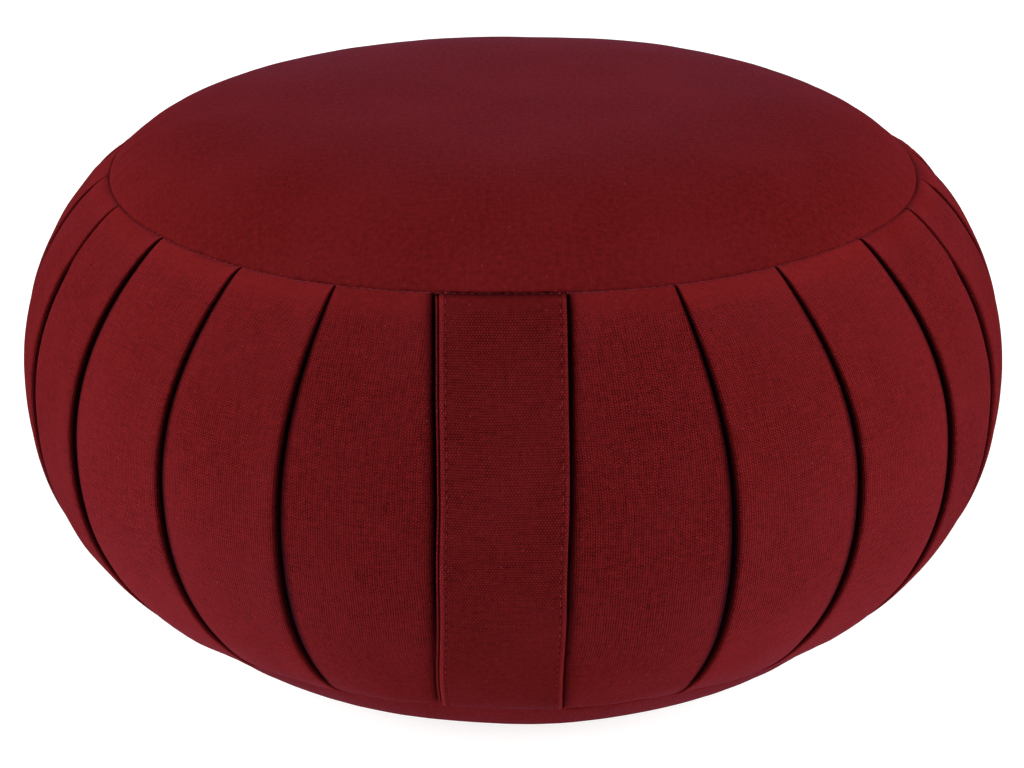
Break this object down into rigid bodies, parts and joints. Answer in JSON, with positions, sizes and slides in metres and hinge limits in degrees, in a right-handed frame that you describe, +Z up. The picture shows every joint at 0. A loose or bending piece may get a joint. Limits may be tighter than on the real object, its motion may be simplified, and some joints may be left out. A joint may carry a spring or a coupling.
{
  "type": "zafu meditation cushion",
  "caption": "Round, firmly filled meditation cushion with a crowned top, a pleated side band and a carry strap sewn flat from seam to seam.",
  "frame": {"origin": "middle of the base, on the surface that the cushion rests on", "axes": "+Z up, -Y towards the front, where the carry strap runs from seam to seam, +X to the right of someone who faces the strap"},
  "size_m": [0.3414, 0.3413, 0.1857],
  "materials": {
    "band_canvas": "plain-woven cotton canvas, matt, dark red",
    "panel_canvas": "plain-woven cotton canvas, matt, dark red",
    "strap_canvas": "folded cotton canvas with edge stitching, matt, dark red"
  },
  "bodies": {
    "root": {"pleated_cushion": "band_canvas", "top_panel": "panel_canvas", "base_panel": "panel_canvas", "carry_strap": "strap_canvas"}
  },
  "joints": []
}
